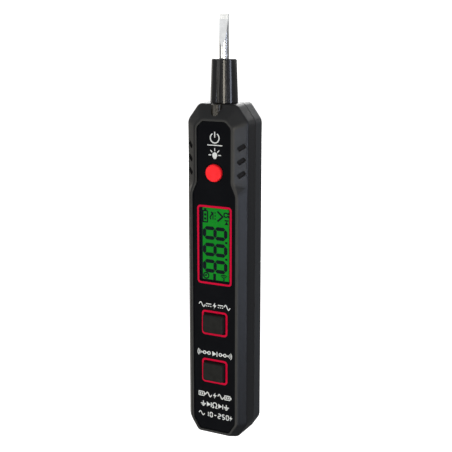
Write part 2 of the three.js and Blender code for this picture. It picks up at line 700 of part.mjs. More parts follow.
const SLEEVE_BASE = BODY_TOP + 0.05;
const FLANGE_TOP = BODY_TOP - WALL - FIT;

// The tapered sleeve's neck passes through the case and its flange holds it in.
function probeSleeve() {
  const bore = ROD_RADIUS + 0.12;
  const { baseRadius, topRadius, neckRadius, flangeRadius } = SLEEVE;
  const outside = turnedZ([
    [bore, FLANGE_TOP - 2],
    [flangeRadius, FLANGE_TOP - 2],
    [flangeRadius, FLANGE_TOP],
    [neckRadius, FLANGE_TOP],
    [neckRadius, SLEEVE_BASE],
    [baseRadius, SLEEVE_BASE],
    [topRadius, SLEEVE_TOP - 0.45],
    [topRadius - 0.15, SLEEVE_TOP - 0.12],
    [topRadius - 0.5, SLEEVE_TOP],
    [bore, SLEEVE_TOP],
    [bore, FLANGE_TOP - 2],
  ], 48);
  const lampY = LED_Y - PROBE_Y;
  const lampGroove = cylinderZ(0, lampY, SLEEVE_GROOVE_RADIUS, SLEEVE_BASE - 1, SLEEVE_TOP + 1);
  const lampRoom = cylinderZ(0, lampY, LED_BORE_RADIUS, SLEEVE_BASE - 6, SLEEVE_BASE);
  return cut(outside, lampGroove, lampRoom);
}

addPiece("probe_sleeve", probeSleeve(), blackPlastic, [0, PROBE_Y, 0]);

const collar = turnedZ([
  [ROD_RADIUS + 0.1, 0], [2.9, 0], [2.9, 3], [ROD_RADIUS + 0.1, 3], [ROD_RADIUS + 0.1, 0],
], 24);
addPiece("probe_collar", collar, brass, [0, PROBE_Y, FLANGE_TOP - 2 - 3.2]);

// A bent strip presses on the rod's end and stands on the circuit board.
const contactStrip = prismX([
  [0, -4.5], [0.35, -4.5], [0.35, -1.6], [3.3, -0.3], [3.3, 0], [1.9, 0], [0.1, -1.1],
], -1.2, 1.2);
addPiece("probe_contact", contactStrip, copper, [0, PCB_BACK_Y + FIT, ROD_BOTTOM - FIT]);

// ---------------------------------------------------------------- batteries and contacts

function buttonCell() {
  const { radius, thickness } = CELL;
  return turnedY([
    [0, 0],
    [radius - 1.6, 0],
    [radius - 1.6, 0.35],
    [radius - 0.3, 0.35],
    [radius, 0.7],
    [radius, thickness],
    [0, thickness],
  ], 24);
}

CELL_HEIGHTS.forEach((z, i) => {
  addPiece(`battery_cell_${i + 1}`, buttonCell(), steel, [0, CELL.frontY, z]);
});

const [cellLow, cellMiddle, cellHigh] = CELL_HEIGHTS;
const contactY = BAY.floorY + 0.02;
const contactPlate = (z0, z1) => box(-2.4, 2.4, 0, 0.18, z0, z1);
addPiece("battery_link_floor", contactPlate(cellLow - 3, cellMiddle + 3), brass, [0, contactY, 0]);
addPiece("battery_contact_floor", contactPlate(cellHigh - 3, cellHigh + 3), brass, [0, contactY, 0]);

const doorPlate = (z0, z1) => box(-2.6, 2.6, -0.4, -0.02, z0, z1);
const doorInside = [0, BACK_Y - WALL, 0];
addPiece("battery_link_door", doorPlate(cellMiddle - 3.4, cellHigh + 3.4), brass, doorInside);
addPiece("battery_contact_door", doorPlate(cellLow - 3.4, cellLow + 3.4), brass, doorInside);

export default tester;
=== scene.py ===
"""Studio picture of a pocket voltage tester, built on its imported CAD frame.

All lengths are metres. +Z runs up to the driver tip, -Y is the front.
"""
import json
import math

import bmesh
import bpy
from mathutils import Matrix, Vector


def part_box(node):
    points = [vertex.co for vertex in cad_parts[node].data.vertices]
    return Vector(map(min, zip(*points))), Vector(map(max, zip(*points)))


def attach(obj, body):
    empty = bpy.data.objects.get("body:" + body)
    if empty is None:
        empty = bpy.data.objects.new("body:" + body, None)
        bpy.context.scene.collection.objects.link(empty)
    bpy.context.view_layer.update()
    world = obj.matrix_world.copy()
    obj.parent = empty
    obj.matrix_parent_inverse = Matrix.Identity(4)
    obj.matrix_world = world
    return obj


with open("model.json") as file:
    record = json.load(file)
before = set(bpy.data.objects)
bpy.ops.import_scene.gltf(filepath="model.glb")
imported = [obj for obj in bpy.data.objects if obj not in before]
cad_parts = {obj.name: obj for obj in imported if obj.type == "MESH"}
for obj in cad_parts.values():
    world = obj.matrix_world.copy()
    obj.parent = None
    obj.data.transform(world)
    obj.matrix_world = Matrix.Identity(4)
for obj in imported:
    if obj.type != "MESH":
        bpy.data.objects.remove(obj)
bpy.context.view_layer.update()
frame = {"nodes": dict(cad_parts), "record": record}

MM = 0.001

# ---------------------------------------------------------------- places taken from the CAD frame

PANEL_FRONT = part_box("face_panel")[0].y
LCD_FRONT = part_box("lcd_glass_front")[0].y
RIM_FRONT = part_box("front_shell")[0].y
BODY_HALF_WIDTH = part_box("front_shell")[1].x

# ---------------------------------------------------------------- camera

CAMERA_AZIMUTH = math.radians(27.285)
CAMERA_ELEVATION = math.radians(12.383)
CAMERA_PLACE = (0.16447, -0.31578, 0.16018)
LENS = 77.16
SENSOR_WIDTH = 36


def add_camera():
    data = bpy.data.cameras.new("camera")
    data.lens = LENS
    data.sensor_width = SENSOR_WIDTH
    data.clip_start = 0.01
    camera = bpy.data.objects.new("camera", data)
    camera.location = CAMERA_PLACE
    camera.rotation_euler = (math.pi / 2 - CAMERA_ELEVATION, 0, CAMERA_AZIMUTH)
    bpy.context.scene.collection.objects.link(camera)
    bpy.context.scene.camera = camera


# ---------------------------------------------------------------- node helpers for materials


class Surface:
    """A Principled material with short calls for the procedural detail that feeds it."""

    def __init__(self, name, colour, roughness, metallic=0.0, specular=0.5):
        self.material = bpy.data.materials.new(name)
        self.material.use_nodes = True
        self.tree = self.material.node_tree
        self.shader = self.tree.nodes["Principled BSDF"]
        self.set("Base Color", (*colour, 1))
        self.set("Roughness", roughness)
        self.set("Metallic", metallic)
        self.set("Specular IOR Level", specular)
        self.position = self.node("ShaderNodeNewGeometry").outputs["Position"]

    def node(self, kind, **settings):
        made = self.tree.nodes.new(kind)
        for key, value in settings.items():
            setattr(made, key, value)
        return made

    def set(self, socket, value):
        self.shader.inputs[socket].default_value = value

    def link(self, source, target):
        self.tree.links.new(source, target)

    def noise(self, size, detail=2.0, stretch=(1, 1, 1)):
        """Noise whose features are about `size` metres across, from 0 to 1."""
        mapping = self.node("ShaderNodeMapping")
        mapping.inputs["Scale"].default_value = stretch
        self.link(self.position, mapping.inputs["Vector"])
        noise = self.node("ShaderNodeTexNoise")
        noise.inputs["Scale"].default_value = 1 / size
        noise.inputs["Detail"].default_value = detail
        self.link(mapping.outputs["Vector"], noise.inputs["Vector"])
        return noise.outputs["Fac"]

    def remap(self, value, low, high, from_low=0.3, from_high=0.7):
        ramp = self.node("ShaderNodeMapRange")
        ramp.inputs["From Min"].default_value = from_low
        ramp.inputs["From Max"].default_value = from_high
        ramp.inputs["To Min"].default_value = low
        ramp.inputs["To Max"].default_value = high
        self.link(value, ramp.inputs["Value"])
        return ramp.outputs["Result"]

    def vary_roughness(self, value, low, high):
        self.link(self.remap(value, low, high), self.shader.inputs["Roughness"])

    def vary_colour(self, value, dark, light, from_low=0.3, from_high=0.7):
        mix = self.node("ShaderNodeMix", data_type="RGBA")
        mix.inputs["A"].default_value = (*dark, 1)
        mix.inputs["B"].default_value = (*light, 1)
        self.link(self.remap(value, 0, 1, from_low, from_high), mix.inputs["Factor"])
        self.link(mix.outputs["Result"], self.shader.inputs["Base Color"])

    def bump(self, value, height, strength=1.0):
        bump = self.node("ShaderNodeBump")
        bump.inputs["Strength"].default_value = strength
        bump.inputs["Distance"].default_value = height
        self.link(value, bump.inputs["Height"])
        self.link(bump.outputs["Normal"], self.shader.inputs["Normal"])

    def edge_highlight(self, dark, light, low=0.55, high=0.64):
        """Paints a highlight onto sharp outer edges, lightening them a little."""
        pointiness = self.node("ShaderNodeNewGeometry").outputs["Pointiness"]
        self.vary_colour(pointiness, dark, light, low, high)


# ---------------------------------------------------------------- materials


def shell_material(name, dark, light):
    """Spark-textured moulded ABS, nearly black, with a painted highlight that lightens its sharp edges.
    """
    surface = Surface(name, dark, 0.4, specular=0.36)
    # Painted highlight: pointiness lightens the sharp outer edges.
    surface.edge_highlight(dark, light)
    surface.vary_roughness(surface.noise(0.6 * MM), 0.34, 0.44)
    surface.bump(surface.noise(0.22 * MM, detail=3), 0.02 * MM, 0.5)
    return surface.material


def panel_material():
    """Smooth satin label plastic with a very fine grain."""
    surface = Surface("face_plastic", (0.003, 0.0035, 0.005), 0.36, specular=0.02)
    surface.vary_colour(surface.noise(9 * MM), (0.0026, 0.003, 0.0045), (0.004, 0.0045, 0.006))
    surface.vary_roughness(surface.noise(1.2 * MM), 0.32, 0.42)
    surface.bump(surface.noise(0.1 * MM), 0.003 * MM, 0.4)
    return surface.material


def sleeve_material():
    """Glossy black insulating sleeve with faint drawing lines along it."""
    surface = Surface("sleeve_plastic", (0.008, 0.008, 0.009), 0.26, specular=0.5)
    surface.vary_colour(surface.noise(5 * MM), (0.007, 0.007, 0.008), (0.011, 0.011, 0.012))
    surface.vary_roughness(surface.noise(0.8 * MM, stretch=(1, 1, 0.15)), 0.15, 0.21)
    surface.bump(surface.noise(0.5 * MM, stretch=(1, 1, 0.2)), 0.006 * MM, 0.3)
    return surface.material


def lamp_material():
    """Smoked lens of the indicator lamp, nearly black until it is lit."""
    surface = Surface("lamp_lens", (0.02, 0.018, 0.015), 0.2, specular=0.35)
    surface.vary_colour(surface.noise(0.8 * MM), (0.014, 0.0125, 0.010), (0.028, 0.025, 0.02))
    surface.vary_roughness(surface.noise(0.5 * MM), 0.16, 0.26)
    surface.bump(surface.noise(0.4 * MM, stretch=(1, 1, 0.2)), 0.004 * MM, 0.3)
    surface.set("Coat Weight", 0.2)
    surface.set("Coat Roughness", 0.08)
    return surface.material


def notch_shade_material():
    """Painted shade: matte black for the sheets laid on the grip notch floors, darkening the notches."""
    surface = Surface("notch_painted_shade", (0.008, 0.008, 0.009), 0.7, specular=0.2)
    surface.vary_colour(surface.noise(0.5 * MM), (0.006, 0.006, 0.007), (0.010, 0.010, 0.011))
    surface.vary_roughness(surface.noise(0.3 * MM), 0.75, 0.9)
    return surface.material


def chrome_material():
    """Bright plated steel with fine grinding marks across the flats."""
    surface = Surface("driver_steel", (0.76, 0.77, 0.775), 0.16, metallic=1.0)
    surface.vary_colour(surface.noise(2 * MM), (0.70, 0.71, 0.715), (0.80, 0.81, 0.815))
    surface.vary_roughness(surface.noise(0.25 * MM, stretch=(1, 1, 3)), 0.12, 0.22)
    surface.bump(surface.noise(0.3 * MM, stretch=(0.3, 1, 3)), 0.001 * MM, 0.12)
    return surface.material


def red_material():
    surface = Surface("red_button_plastic", (0.95, 0.014, 0.022), 0.42, specular=0.16)
    surface.vary_colour(surface.noise(3 * MM), (0.92, 0.012, 0.018), (0.98, 0.018, 0.028))
    surface.vary_roughness(surface.noise(0.5 * MM), 0.38, 0.5)
    surface.bump(surface.noise(0.15 * MM), 0.004 * MM, 0.35)
    return surface.material


def rubber_material():
    surface = Surface("key_rubber", (0.012, 0.0125, 0.012), 0.6, specular=0.1)
    surface.vary_colour(surface.noise(2 * MM), (0.010, 0.0105, 0.010), (0.015, 0.0155, 0.015))
    surface.vary_roughness(surface.noise(0.4 * MM), 0.56, 0.7)
    surface.bump(surface.noise(0.12 * MM, detail=3), 0.008 * MM, 0.5)
    return surface.material


def print_material(name, colour, light):
    """Screen-printed ink: flat, slightly uneven."""
    surface = Surface(name, colour, 0.5, specular=0.06)
    dim = tuple(part * 0.9 for part in colour)
    surface.vary_colour(surface.noise(0.35 * MM, detail=3), dim, light)
    surface.vary_roughness(surface.noise(0.3 * MM), 0.45, 0.6)
    surface.bump(surface.noise(0.08 * MM), 0.002 * MM, 0.3)
    return surface.material


def lcd_material():
    """Lit green display, grained by its diffuser."""
    surface = Surface("lcd_green", (0.002, 0.05, 0.004), 0.3, specular=0.02)
    surface.vary_colour(surface.noise(0.22 * MM), (0.002, 0.04, 0.003), (0.003, 0.06, 0.005))
    surface.vary_roughness(surface.noise(0.6 * MM), 0.26, 0.36)
    surface.set("Emission Color", (0.003, 0.29, 0.016, 1))
    surface.set("Emission Strength", 0.85)
    return surface.material


def lcd_segment_material():
    surface = Surface("lcd_segment", (0.004, 0.009, 0.016), 0.45, specular=0.02)
    surface.vary_colour(surface.noise(0.3 * MM), (0.003, 0.007, 0.012), (0.005, 0.012, 0.018))
    surface.vary_roughness(surface.noise(0.4 * MM), 0.4, 0.5)
    return surface.material


def clear_material():
    """Thin clear window: mostly see-through, with a faint gloss."""
    surface = Surface("clear_plastic", (0.01, 0.015, 0.015), 0.16, specular=0.05)
    surface.vary_colour(surface.noise(2 * MM), (0.008, 0.012, 0.012), (0.014, 0.02, 0.02))
    surface.vary_roughness(surface.noise(1.5 * MM), 0.13, 0.2)
    surface.link(surface.remap(surface.noise(4 * MM), 0.10, 0.14), surface.shader.inputs["Alpha"])
    return surface.material


def metal_material(name, dark, light, roughness):
    surface = Surface(name, light, roughness, metallic=1.0)
    surface.vary_colour(surface.noise(0.9 * MM), dark, light)
    surface.vary_roughness(surface.noise(0.3 * MM), roughness * 0.8, roughness * 1.3)
    surface.bump(surface.noise(0.15 * MM, stretch=(1, 1, 3)), 0.003 * MM, 0.4)
    return surface.material


def moulded_material(name, dark, light, roughness):
    surface = Surface(name, light, roughness, specular=0.45)
    surface.vary_colour(surface.noise(1.5 * MM), dark, light)
    surface.vary_roughness(surface.noise(0.4 * MM), roughness * 0.85, roughness * 1.15)
    surface.bump(surface.noise(0.15 * MM), 0.004 * MM, 0.4)
    return surface.material


LOOKS = {
    "shell_plastic": shell_material("case_plastic", (0.0085, 0.009, 0.010), (0.020, 0.0195, 0.018)),
    "face_plastic": panel_material(),
    "clear_plastic": clear_material(),
    "white_plastic": moulded_material("white_plastic", (0.68, 0.7, 0.7), (0.8, 0.82, 0.82), 0.5),
    "black_plastic": moulded_material("black_plastic", (0.010, 0.010, 0.012), (0.018, 0.018, 0.02), 0.4),
    "red_plastic": red_material(),
    "key_rubber": rubber_material(),
    "lcd_glass": lcd_material(),
    "lcd_light": moulded_material("lcd_light", (0.1, 0.6, 0.16), (0.14, 0.7, 0.2), 0.4),
    "zebra_rubber": moulded_material("zebra_rubber", (0.62, 0.3, 0.36), (0.72, 0.36, 0.42), 0.65),
    "board": moulded_material("solder_mask", (0.010, 0.075, 0.028), (0.014, 0.105, 0.04), 0.4),
    "chip_epoxy": moulded_material("chip_epoxy", (0.012, 0.012, 0.013), (0.02, 0.02, 0.021), 0.6),
    "copper": metal_material("copper", (0.62, 0.3, 0.16), (0.76, 0.4, 0.22), 0.3),
    "chrome": chrome_material(),
    "brass": metal_material("brass", (0.6, 0.43, 0.18), (0.74, 0.55, 0.26), 0.28),
    "steel": metal_material("steel", (0.46, 0.47, 0.48), (0.6, 0.61, 0.62), 0.3),
    "spring_steel": metal_material("spring_steel", (0.55, 0.56, 0.57), (0.68, 0.69, 0.7), 0.24),
}
REAR_LOOK = shell_material("rear_case_plastic", (0.021, 0.0225, 0.0245), (0.032, 0.034, 0.037))
SLEEVE_LOOK = sleeve_material()
LAMP_LOOK = lamp_material()
NOTCH_SHADE_LOOK = notch_shade_material()
WHITE_INK = print_material("white_ink", (0.62, 0.65, 0.66), (0.72, 0.75, 0.76))
RED_INK = print_material("red_ink", (0.55, 0.0, 0.032), (0.62, 0.001, 0.038))
SEGMENT_LOOK = lcd_segment_material()


def smoothing_nodes():
    """Smooth shading that stops at edges sharper than 40 degrees."""
    tree = bpy.data.node_groups.new("smooth_by_angle", "GeometryNodeTree")
    for direction in ("INPUT", "OUTPUT"):
        tree.interface.new_socket("Geometry", in_out=direction, socket_type="NodeSocketGeometry")
    start = tree.nodes.new("NodeGroupInput")
    end = tree.nodes.new("NodeGroupOutput")
    faces = tree.nodes.new("GeometryNodeSetShadeSmooth")
    edges = tree.nodes.new("GeometryNodeSetShadeSmooth")
    edges.domain = "EDGE"
    angle = tree.nodes.new("GeometryNodeInputMeshEdgeAngle")
    gentle = tree.nodes.new("FunctionNodeCompare")
    gentle.operation = "LESS_THAN"
    gentle.inputs["B"].default_value = math.radians(40)
    tree.links.new(start.outputs["Geometry"], faces.inputs["Geometry"])
    tree.links.new(faces.outputs["Geometry"], edges.inputs["Geometry"])
    tree.links.new(angle.outputs["Unsigned Angle"], gentle.inputs["A"])
    tree.links.new(gentle.outputs["Result"], edges.inputs["Shade Smooth"])
    tree.links.new(edges.outputs["Geometry"], end.inputs["Geometry"])
    return tree


def dress_cad_nodes():
    """Gives every CAD node its slot's material and softens its hard CAD edges."""
    smoothing = smoothing_nodes()
    for entry in frame["record"]["subparts"]:
        node = frame["nodes"][entry["node"]]
        node.data.materials.clear()
        node.data.materials.append(LOOKS[entry["material_slot"]])
        flatten = node.modifiers.new("flat_faces", "DECIMATE")
        flatten.decimate_type = "DISSOLVE"
        flatten.angle_limit = math.radians(1.5)
        soften = node.modifiers.new("soft_edges", "BEVEL")
        soften.limit_method = "ANGLE"
        soften.angle_limit = math.radians(30)
        soften.width = 0.1 * MM
        soften.segments = 2
        smooth = node.modifiers.new("smooth", "NODES")
        smooth.node_group = smoothing
        even = node.modifiers.new("even_shading", "WEIGHTED_NORMAL")
        even.keep_sharp = True
        even.weight = 90


# ---------------------------------------------------------------- flat printed shapes


def on_circle(centre, radius, turn):
    """The point of a circle at this many degrees, anticlockwise from the right."""
    angle = math.radians(turn)
    return (centre[0] + radius * math.cos(angle), centre[1] + radius * math.sin(angle))


def arc(centre, radius, start, end, steps=14):
    """Points along an arc between two angles in degrees."""
    return [on_circle(centre, radius, start + (end - start) * i / steps) for i in range(steps + 1)]


def rounded_rectangle(centre, width, height, radius):
    across, up = width / 2 - radius, height / 2 - radius
    corners = [(across, up, 0), (-across, up, 90), (-across, -up, 180), (across, -up, 270)]
    return [
        point
        for dx, dz, turn in corners
        for point in arc((centre[0] + dx, centre[1] + dz), radius, turn, turn + 90, 5)
    ]


def line_edges(points, width, closed):
    """The left and right edges of a line of this width, mitred at its corners."""
    count = len(points)
    left, right = [], []
    for i, (x, z) in enumerate(points):
        normals = []
        for j, k in ((i - 1, i), (i, i + 1)):
            if closed or 0 <= j and k < count:
                (x0, z0), (x1, z1) = points[j % count], points[k % count]
                length = math.hypot(x1 - x0, z1 - z0)
                normals.append(((z0 - z1) / length, (x1 - x0) / length))
        nx = sum(normal[0] for normal in normals) / len(normals)
        nz = sum(normal[1] for normal in normals) / len(normals)
        reach = width / 2 / max(nx * nx + nz * nz, 0.3)
        left.append((x + nx * reach, z + nz * reach))
        right.append((x - nx * reach, z - nz * reach))
    return left, right


INK_PROUD = 0.015 * MM
INK_SUNK = 0.02 * MM


class Print:
    """Thin flat shapes on a plane facing the front, drawn in millimetres as (x, z).

    `place` is where the drawing's origin lies; a turned print reads from the bottom up.
    """

    def __init__(self, front_y, place=(0, 0), turned=False):
        self.mesh = bmesh.new()
        self.front_y = front_y
        self.place = place
        self.turned = turned

    def corner(self, point, y):
        x, z = (-point[1], point[0]) if self.turned else point
        return self.mesh.verts.new(((x + self.place[0]) * MM, y, (z + self.place[1]) * MM))

    def layers(self, points):
        front = [self.corner(point, self.front_y - INK_PROUD) for point in points]
        back = [self.corner(point, self.front_y + INK_SUNK) for point in points]
        return front, back

    def fill(self, points):
        front, back = self.layers(points)
        self.mesh.faces.new(front)
        self.mesh.faces.new(back[::-1])
        for i in range(len(points)):
            self.mesh.faces.new((front[i - 1], back[i - 1], back[i], front[i]))

    def line(self, points, width, closed=False):
        left, right = (self.layers(edge) for edge in line_edges(points, width, closed))
        rails = (left[0], left[1], right[1], right[0])
        for i in range(0 if closed else 1, len(points)):
            for here, there in zip(rails, rails[1:] + rails[:1]):
                self.mesh.faces.new((here[i - 1], here[i], there[i], there[i - 1]))
        if not closed:
            for i in (0, -1):
                self.mesh.faces.new([rail[i] for rail in rails])

    def piece(self, name, look, slot):
        bmesh.ops.recalc_face_normals(self.mesh, faces=self.mesh.faces)
        return add_piece(name, self.mesh, look, "housing")


def add_piece(name, mesh, look, body):
    data = bpy.data.meshes.new(name)
    mesh.to_mesh(data)
    mesh.free()
    data.materials.append(look)
    piece = bpy.data.objects.new(name, data)
    bpy.context.scene.collection.objects.link(piece)
    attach(piece, body)
    return piece


# Generic symbols, each drawn about its own centre.


def draw_disc(ink, centre, radius):
    ink.fill(arc(centre, radius, 0, 345, 23))


def draw_ring(ink, centre, radius, width):
    ink.line(arc(centre, radius, 0, 345, 23), width, closed=True)


def draw_wave(ink, centre, length, height, width, periods=1):
    steps = 14 * periods
    points = []
    for i in range(steps + 1):
        phase = 2 * math.pi * periods * i / steps
        x = centre[0] + length * (i / steps - 0.5)
        points.append((x, centre[1] + height / 2 * math.sin(phase)))
    ink.line(points, width)


def draw_direct_current(ink, centre, length, width):
    x, z = centre
    ink.line([(x - length / 2, z + 0.45), (x + length / 2, z + 0.45)], width)
    dash = length / 5
    for shift in (-2 * dash, 0, 2 * dash):
        ink.line([(x + shift - dash / 2, z - 0.45), (x + shift + dash / 2, z - 0.45)], width)


def draw_bolt(ink, centre, height):
    x, z = centre
    shape = [(0.1, 0.5), (-0.32, -0.08), (-0.04, -0.08), (-0.12, -0.5), (0.32, 0.1), (0.04, 0.1)]
    ink.fill([(x + dx * height, z + dz * height) for dx, dz in shape])


def draw_diode(ink, centre, size, width):
    x, z = centre
    half = size / 2
    ink.fill([(x - half, z - half), (x + half * 0.7, z), (x - half, z + half)])
    ink.line([(x + half, z - half), (x + half, z + half)], width)


def draw_link(ink, centre, length, radius, width):
    """Two open contacts joined by a line."""
    x, z = centre
    reach = length / 2 - radius
    for side in (-1, 1):
        draw_ring(ink, (x + side * reach, z), radius, width)
    gap = reach - radius - width / 2
    ink.line([(x - gap, z), (x + gap, z)], width)


def draw_sound(ink, centre, size, width, side=1):
    """A dot with arcs spreading from it."""
    x, z = centre
    draw_disc(ink, (x - side * size * 0.45, z), width * 0.75)
    turn = 0 if side > 0 else 180
    for i in (1, 2, 3):
        ink.line(arc((x - side * size * 0.45, z), size * 0.28 * i, turn - 42, turn + 42, 8), width * 0.8)


def draw_battery(ink, centre, length, height, width):
    x, z = centre
    body = length * 0.88
    left = x - length / 2
    ink.line(rounded_rectangle((left + body / 2, z), body, height, 0.15), width, closed=True)
    ink.line([(left + body + width, z - height / 4), (left + body + width, z + height / 4)], width * 1.6)
    for i in range(2):
        bar = left + body * (0.3 + 0.36 * i)
        ink.line([(bar, z - height * 0.25), (bar, z + height * 0.25)], body * 0.2)


def draw_earth(ink, centre, size, width):
    x, z = centre
    ink.line([(x, z + size / 2), (x, z + size * 0.05)], width)
    for i, share in enumerate((0.5, 0.32, 0.15)):
        level = z - size * 0.22 * i
        ink.line([(x - size * share, level), (x + size * share, level)], width)


def draw_omega(ink, centre, size, width):
    x, z = centre
    bow = arc((x, z + size * 0.08), size * 0.38, -55, 235)
    ink.line([(x + size * 0.5, z - size * 0.45), (x + size * 0.2, z - size * 0.45), *bow,
              (x - size * 0.2, z - size * 0.45), (x - size * 0.5, z - size * 0.45)], width)


def draw_clock(ink, centre, radius, width):
    x, z = centre
    draw_ring(ink, centre, radius, width)
    ink.line([(x, z + radius * 0.65), (x, z), (x + radius * 0.5, z)], width)


def draw_power(ink, centre, radius, width):
    x, z = centre
    ink.line(arc(centre, radius, -238, 58, 24), width)
    ink.line([(x, z + radius * 1.28), (x, z + radius * 0.1)], width)


def draw_bulb(ink, centre, radius, width):
    """A glowing bulb: a round head narrowing to its cap, with five rays."""
    x, z = centre
    head = arc((x, z), radius, -40, 220, 18)
    cap = [(x - radius * 0.45, z - radius * 1.35), (x + radius * 0.45, z - radius * 1.35)]
    ink.fill([*head, *cap])
    for turn in (0, 45, 90, 135, 180):
        foot = on_circle((x, z), radius * 1.45, turn)
        tip = on_circle((x, z), radius * 2.5, turn)
        ink.line([foot, tip], width)


# Which of the seven strokes a digit uses: top, upper sides, middle, lower sides, bottom.
DIGIT_STROKES = {
    "0": "abcdef", "1": "bc", "2": "abged", "3": "abgcd", "4": "fgbc",
    "5": "afgcd", "6": "afgedc", "7": "abc", "8": "abcdefg", "9": "abcdfg", "-": "g",
}


def draw_digit(ink, centre, width, height, stroke, gap, digit="8"):
    """A seven-segment digit whose segments are pointed bars with gaps between them."""
    x, z = centre
    across = width / 2 - stroke / 2
    up = height / 2 - stroke / 2
    ends = {
        "a": ((-across, up), (across, up)),
        "b": ((across, up), (across, 0)),
        "c": ((across, 0), (across, -up)),
        "d": ((-across, -up), (across, -up)),
        "e": ((-across, -up), (-across, 0)),
        "f": ((-across, 0), (-across, up)),
        "g": ((-across, 0), (across, 0)),
    }
    for name in DIGIT_STROKES[digit]:
        (x0, z0), (x1, z1) = ends[name]
        length = math.hypot(x1 - x0, z1 - z0)
        along = ((x1 - x0) / length, (z1 - z0) / length)
        half = stroke / 2
        outline = [
            (gap, 0), (gap + half, -half), (length - gap - half, -half),
            (length - gap, 0), (length - gap - half, half), (gap + half, half),
        ]
        ink.fill([
            (x + x0 + along[0] * s - along[1] * t, z + z0 + along[1] * s + along[0] * t)
            for s, t in outline
        ])


# ---------------------------------------------------------------- painted shade on the floors of the grip notches

# Millimetres. The notches are cut square to the side bevel and turned by `turn` degrees.
GRIP_NOTCH = {
    "heights": (112.9, 107.95, 103.0),
    "length": 3.2,
    "width": 1.75,
    "corner": 0.55,
    "turn": 32,
    "depth": 0.74,
    "floor": 0.1,
}
# The upper side bevel runs from the rim out to the side and falls back by BEVEL_FALL.
UPPER_RIM_HALF_WIDTH = 8.0
BEVEL_FALL = 3.3
NOTCH_PLACE = 0.56


def shade_grip_notch_floors():
    """Lays a thin black sheet of painted shade on the floor of each of the six notches."""
    mesh = bmesh.new()
    bevel_run = BODY_HALF_WIDTH / MM - UPPER_RIM_HALF_WIDTH
    lean = math.atan2(BEVEL_FALL, bevel_run)
    outline = rounded_rectangle((0, 0), GRIP_NOTCH["length"], GRIP_NOTCH["width"], GRIP_NOTCH["corner"])
    for side in (-1, 1):
        for height in GRIP_NOTCH["heights"]:
            across = side * (UPPER_RIM_HALF_WIDTH + NOTCH_PLACE * bevel_run)
            place = Vector((across, RIM_FRONT / MM + NOTCH_PLACE * BEVEL_FALL, height))
            turn = Matrix.Rotation(side * lean, 4, "Z")
            turn = turn @ Matrix.Rotation(-side * math.radians(GRIP_NOTCH["turn"]), 4, "Y")
            layers = [
                [mesh.verts.new((turn @ Vector((x, y, z)) + place) * MM) for x, z in outline]
                for y in (GRIP_NOTCH["depth"] - GRIP_NOTCH["floor"], GRIP_NOTCH["depth"])
            ]
            front, back = layers
            mesh.faces.new(front)
            mesh.faces.new(back[::-1])
            for i in range(len(outline)):
                mesh.faces.new((front[i - 1], back[i - 1], back[i], front[i]))
    bmesh.ops.recalc_face_normals(mesh, faces=mesh.faces)
    # Painted shade: these black sheets darken the notch floors.
    add_piece("grip_notch_painted_shade", mesh, NOTCH_SHADE_LOOK, "housing")


# ---------------------------------------------------------------- what is printed on the face

LCD_OUTLINE = {"width": 13.65, "low": 61.05, "high": 90.42, "line": 0.75}
KEY_OUTLINE = {"width": 10.12, "height": 8.9, "line": 0.78}
SYMBOL_LINE = 0.37


def print_red_outlines():
    ink = Print(PANEL_FRONT)
    low, high = LCD_OUTLINE["low"], LCD_OUTLINE["high"]
    window = rounded_rectangle((0, (low + high) / 2), LCD_OUTLINE["width"], high - low, 1.0)
    ink.line(window, LCD_OUTLINE["line"], closed=True)
    for key in ("voltage_key", "continuity_key"):
        low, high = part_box(key)
        centre = (0, (low.z + high.z) / 2 / MM)
        outline = rounded_rectangle(centre, KEY_OUTLINE["width"], KEY_OUTLINE["height"], 1.0)
        ink.line(outline, KEY_OUTLINE["line"], closed=True)
    ink.piece("red_outlines", RED_INK, "red_plastic")


def print_button_symbols():
    ink = Print(PANEL_FRONT, (0.24, 0))
    draw_power(ink, (0, 115.95), 1.8, 0.42)
    ink.line([(-3.1, 113.3), (3.1, 113.3)], 0.36)
    draw_bulb(ink, (0, 109.7), 1.02, 0.36)
    ink.piece("button_symbols", WHITE_INK, "white_plastic")


def print_key_symbols():
    ink = Print(PANEL_FRONT, (0, 52.4))
    draw_bolt(ink, (0, 0), 2.5)
    for side in (-1, 1):
        draw_direct_current(ink, (side * 2.5, 0), 2.2, SYMBOL_LINE)
        draw_wave(ink, (side * 5.3, 0), 2.6, 1.7, SYMBOL_LINE)
    ink.piece("voltage_symbols", WHITE_INK, "white_plastic")

    ink = Print(PANEL_FRONT, (0, 33.3))
    draw_diode(ink, (0, 0), 2.0, SYMBOL_LINE)
    for side in (-1, 1):
        draw_link(ink, (side * 3.4, 0), 3.0, 0.55, SYMBOL_LINE)
        draw_sound(ink, (side * 6.4, 0), 2.2, SYMBOL_LINE, side)
    ink.piece("continuity_symbols", WHITE_INK, "white_plastic")


